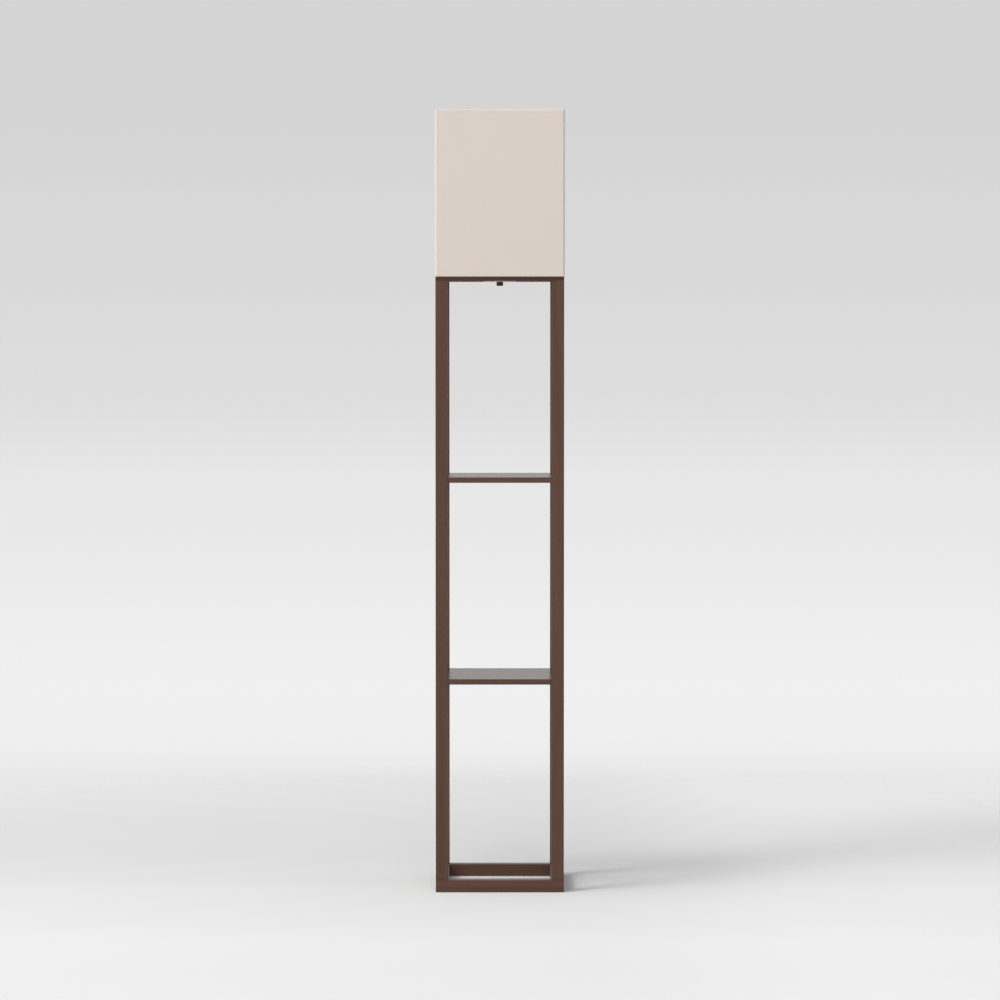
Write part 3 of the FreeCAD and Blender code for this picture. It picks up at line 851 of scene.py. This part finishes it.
newPiece(
    "screwShell", makeScrewShell(screwShell), brass, "lamp", ["socket_screw_shell"]
)
softCopy("socketContact", "socket_contact", 0.0, "lamp")
softCopy("socketInsulator", "socket_insulator", 0.0004, "lamp", 3)
softCopy("socketBracket", "socket_bracket", 0.0, "lamp")
softCopy("bracketNuts", "bracket_nuts", 0.0002, "lamp")
softCopy("nippleNut", "nipple_nut", 0.0003, "lamp")
softCopy("supplyLeads", "supply_leads", 0.0, "lamp")

nipple = {"core": 0.00445, "pitch": 0.001, "bore": 0.0036, "threadGap": 0.0003, "threadSteps": 32}


def makeNipple(values):
    bottom, top, radius = levels("socket_nipple")
    bm = turn([
        (values["bore"], bottom), (values["core"], bottom), (values["core"], top),
        (values["bore"], top),
    ], smallSteps)
    foot = values["core"] - threadSunk
    low, high = bottom + values["threadGap"], top - values["threadGap"]
    return joinIn(bm, screwThread(foot, radius, values["pitch"], low, high, values["threadSteps"]))


newPiece("socketNipple", makeNipple(nipple), plateSteel, "lamp", ["socket_nipple"])

print("switch")
softCopy("switchPlate", "switch_plate", 0.0, "lamp")
softCopy("plateBolts", "plate_bolts", 0.0, "lamp")
softCopy("switchBody", "switch_body", 0.0006, "lamp", 3)
softCopy("switchBushing", "switch_bushing", 0.0, "lamp")
softCopy("switchNut", "switch_nut", 0.00015, "lamp")
softCopy("switchSpindle", "switch_spindle", 0.0, "knob")

knob = {
    "count": 16,
    "flute": 0.0006,
    "collar": 0.001,
    "edge": 0.0009,
    "rim": 0.00565,
    "rimDeep": 0.0026,
    "rimEdge": 0.0003,
    "dish": 0.0004,  # hollow in the end face
    "middle": 0.0008,  # small flat at the middle of each end
    "dishShare": 0.55,  # of the radius, where the hollow has dishDeep of its depth
    "dishDeep": 0.8,
    "flat": 1.7,  # where the hollow ends, in edges from the side
    "round": ((0.55, 0.08), (0.2, 0.35), (0.0, 1.0)),  # lower edge, across and up, in shares of it
}


def makeKnob(values):
    bottom, top, radius = levels("switch_knob")
    edge = values["edge"]
    dish, middle, rimEdge = values["dish"], values["middle"], values["rimEdge"]
    shape = [
        (middle, bottom + dish, 0.0),
        (radius * values["dishShare"], bottom + dish * values["dishDeep"], 0.0),
        (radius - values["flat"] * edge, bottom, 0.0),
    ]
    for across, rise in values["round"]:
        shape.append((radius - edge * across, bottom + edge * rise, values["flute"] * rise))
    shape += [
        (radius, top - values["collar"] - dish, values["flute"]),
        (radius, top - values["collar"], 0.0), (radius, top - rimEdge, 0.0),
        (radius - rimEdge, top, 0.0), (values["rim"], top, 0.0),
        (values["rim"], top - values["rimDeep"], 0.0), (middle, top - values["rimDeep"], 0.0),
    ]
    bm, loops = flutedShape(shape, values["count"])
    for end in (loops[0], loops[-1]):
        bmesh.ops.holes_fill(bm, edges=end)
    return bm


newPiece("switchKnob", makeKnob(knob), knobBlack, "knob", ["switch_knob"])

grommet = {"bore": 0.0029, "flange": 0.007, "neck": 0.00445, "catch": 0.006, "edge": 0.0004}


def makeGrommet(values):
    low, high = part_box("cord_grommet")
    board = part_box("top_board")
    centre = ((low.x + high.x) / 2, (low.y + high.y) / 2)
    bm = turn([
        (values["bore"], low.z), (values["flange"], low.z), (values["flange"], board[0].z),
        (values["neck"], board[0].z), (values["neck"], board[1].z),
        (values["catch"], board[1].z), (values["catch"], high.z), (values["bore"], high.z),
    ], smallSteps, centre)
    soften(bm, values["edge"])
    return bm


evenShading(newPiece(
    "cordGrommet", makeGrommet(grommet), leadSleeve, "lamp", ["cord_grommet"]
))

print("bulb")
bulb = {
    "globe": 0.030,
    "neck": 0.0265,
    "wall": 0.0012,
    "foot": 0.0155,
    "groove": 0.0004,
    "grooveTall": 0.001,
    "pitch": 0.00363,
    "threadDeep": 0.0009,
    "threadGap": 0.0012,
    "collar": 0.003,
    "edge": 0.0008,
    "arcSteps": 36,
    "flareSteps": 24,
    "tipSteps": 9,
}


def makeGlobe(values):
    bottom, top, _ = levels("bulb_globe")
    centre = (0.0, top - values["globe"])
    low = math.degrees(math.asin((bottom - centre[1]) / values["globe"]))
    outer = arc(centre, values["globe"], low, 90, values["arcSteps"])
    inner = arc(centre, values["globe"] - values["wall"], 90, low, values["arcSteps"])
    return turn(outer + inner, fineSteps)


def makeHousing(values):
    bottom, top, _ = levels("bulb_housing")
    edge = values["edge"]
    line = [(0.0, bottom), (values["foot"] - edge, bottom), (values["foot"], bottom + edge)]
    tall = top - bottom - values["grooveTall"] - values["groove"] / 2
    for step in range(1, values["flareSteps"] + 1):
        share = step / values["flareSteps"]
        radius = values["neck"] + (values["foot"] - values["neck"]) * math.cos(share * math.pi / 2)
        line.append((radius, bottom + tall * share))
    seam = values["neck"] - values["groove"]
    line += [(seam, top - values["grooveTall"]), (seam, top), (0.0, top)]
    return turn(line, fineSteps)


def makeBase(values):
    bottom, top, radius = levels("bulb_base")
    core = radius - values["threadDeep"]
    collar = top - values["collar"]
    edge = values["edge"]
    bm = turn([
        (0.0, bottom), (core - edge, bottom), (core, bottom + edge), (core, collar),
        (radius, collar + edge), (radius, top), (0.0, top),
    ])
    low = bottom + values["threadGap"]
    return joinIn(bm, screwThread(core - threadSunk, radius, values["pitch"], low, collar))


def makeTip(values):
    bottom, top, radius = levels("bulb_tip")
    dome = [(radius * across, top - (top - bottom) * drop)
            for across, drop in arc((0.0, 0.0), 1.0, 90, 0, values["tipSteps"])]
    return turn(dome + [(0.0, top)], smallSteps)


newPiece("bulbGlobe", makeGlobe(bulb), bulbFrosted, "bulb", ["bulb_globe"])
newPiece(
    "bulbHousing", makeHousing(bulb), bulbWhite, "bulb", ["bulb_housing"]
)
newPiece("bulbBase", makeBase(bulb), bulbNickel, "bulb", ["bulb_base"])
newPiece("bulbTip", makeTip(bulb), bulbNickel, "bulb", ["bulb_tip"])
softCopy("bulbInsulator", "bulb_insulator", 0.0003, "bulb")

# --- floor and air round the lamp

studio = {
    "floorSize": 7.0,
    "floorFade": (1.5, 2.3),
    # painted light on the floor: the paper is made lighter to the right of the lamp, where its
    # shadow falls, so that the shadow fades sooner
    "paintedLightSide": (0.1, 0.7),  # across which the paper is lightened towards the lamp's shadow, a painted light
    "paintedLightNear": (-0.7, 0.1),  # the painted light is partial in front of the lamp and whole behind it
    "paintedLightNearShare": 0.5,
    "paintedLightGain": 1.13,
    "fillLow": 0.14,  # from the sides
    "fillHigh": 0.56,  # more from overhead
    "floorGlow": 0.8,  # what a lit floor sends up
    "horizon": (-0.01, 0.01),
    # name, place, width and power: the narrower one draws the shadows
    "keys": [
        ("keyMain", (-10.3, -7.2, 10.2), 6.0, 820.0),
        ("keyWide", (-9.2, -7.6, 11.0), 30.0, 2650.0),
    ],
    "keyAim": (0, 0, 0.5),
    "paperRoughness": 0.9,
}
# brightness of the floor, by the distance behind the lamp's middle
floorTones = [
    (-1.2, 234), (-0.75, 236), (-0.5, 233.3), (-0.12, 232),
    (0.1, 228), (0.5, 225), (0.8, 226), (1.6, 232),
]
# brightness of the air behind the lamp, by the sine of the angle above the horizon
backdrop = [
    (0.060, 212), (0.0217, 216.5), (-0.013, 221), (-0.0432, 232), (-0.0923, 239.5),
    (-0.104, 238.5), (-0.118, 231), (-0.1334, 226), (-0.1462, 232), (-0.158, 239),
]


def toned(plan, value, tones, gain=1.0):
    # a grey that follows the value along the list of (value, brightness)
    first, last = tones[0][0], tones[-1][0]
    stops = []
    for at, level in tones:
        stops.append(((at - first) / (last - first), scaled(paint(level, level, level), gain)))
    return plan.put("ValToRGB", {"stops": stops}, {"Fac": (value - first) / (last - first)})


def lightWorld(values):
    world = bpy.data.worlds.new("air")
    scene.world = world
    plan = Plan(world)
    height = plan.split(plan.put("TexCoord", {}, {}, "Generated"))[2]
    path = plan.put("LightPath", {}, {}, "Is Camera Ray")
    gloss = plan.put("LightPath", {}, {}, "Is Glossy Ray")
    through = plan.put("LightPath", {}, {}, "Is Transmission Ray")
    seen = path.larger(gloss).larger(through)
    upper = values["fillLow"] + height * height * values["fillHigh"]
    lower = values["floorGlow"]
    strength = height.step(*values["horizon"]) * (upper - lower) + lower
    fill = plan.put("Background", {}, {"Color": (1, 1, 1, 1), "Strength": strength})
    shown = plan.put("Background", {}, {"Color": toned(plan, height, backdrop), "Strength": 1.0})
    plan.finish(plan.put("MixShader", {}, {0: seen, 1: fill, 2: shown}), "OutputWorld")


def makeFloor(values):
    bm = bmesh.new()
    bmesh.ops.create_circle(bm, cap_ends=True, segments=fineSteps, radius=values["floorSize"])
    mesh = bpy.data.meshes.new("floor")
    bm.to_mesh(mesh)
    bm.free()
    floor = bpy.data.objects.new("floor", mesh)
    floor.visible_diffuse = False  # floorGlow takes the place of its bounce
    scene.collection.objects.link(floor)
    material, plan = newMaterial("floorPaper")
    east, north, _ = plan.split(plan.place())
    away = plan.put("VectorMath", {"operation": "LENGTH"}, {0: plan.place()}, "Value")
    gone = away.step(*values["floorFade"])
    # painted light: the paper's tone is raised to the right of the lamp, partly in front and wholly
    # behind, to lighten the lamp's shadow there
    paintedLightTone = toned(plan, north, floorTones, values["paintedLightGain"])
    near = values["paintedLightNearShare"]
    side = north.step(*values["paintedLightNear"]) * (1 - near) + near
    side = east.step(*values["paintedLightSide"]) * side
    tone = plan.mixed(side, toned(plan, north, floorTones), paintedLightTone)
    rough = values["paperRoughness"]
    paper = plan.gloss({"Base Color": tone, "Roughness": rough, "Specular IOR Level": 0.0})
    clear = plan.put("BsdfTransparent", {}, {"Color": (1, 1, 1, 1)})
    behind = plan.put("NewGeometry", {}, {}, "Backfacing")
    camera = plan.put("LightPath", {}, {}, "Is Camera Ray")
    hidden = (gone * camera).larger(behind * camera)
    plan.finish(plan.put("MixShader", {}, {0: hidden, 1: paper, 2: clear}))
    mesh.materials.append(material)


def addKey(name, place, size, power):
    light = bpy.data.lights.new(name, "AREA")
    light.shape = "DISK"
    light.size = size
    light.energy = power
    lamp = bpy.data.objects.new(name, light)
    lamp.location = place
    look = Vector(studio["keyAim"]) - lamp.location
    lamp.rotation_euler = look.to_track_quat("-Z", "Y").to_euler()
    scene.collection.objects.link(lamp)


print("studio")
lightWorld(studio)
makeFloor(studio)
for key in studio["keys"]:
    addKey(*key)

# --- camera

view = {
    "place": (0.0004, -7.9202, 1.1354),
    "downTilt": math.radians(2.4735),
    "lens": 138.614,
    "sensor": 36.0,
    "reach": 100.0,
}
eye = bpy.data.cameras.new("eye")
eye.lens = view["lens"]
eye.sensor_width = view["sensor"]
eye.clip_end = view["reach"]
eyeObject = bpy.data.objects.new("eye", eye)
eyeObject.location = view["place"]
eyeObject.rotation_euler = (math.pi / 2 - view["downTilt"], 0, 0)
scene.collection.objects.link(eyeObject)
scene.camera = eyeObject
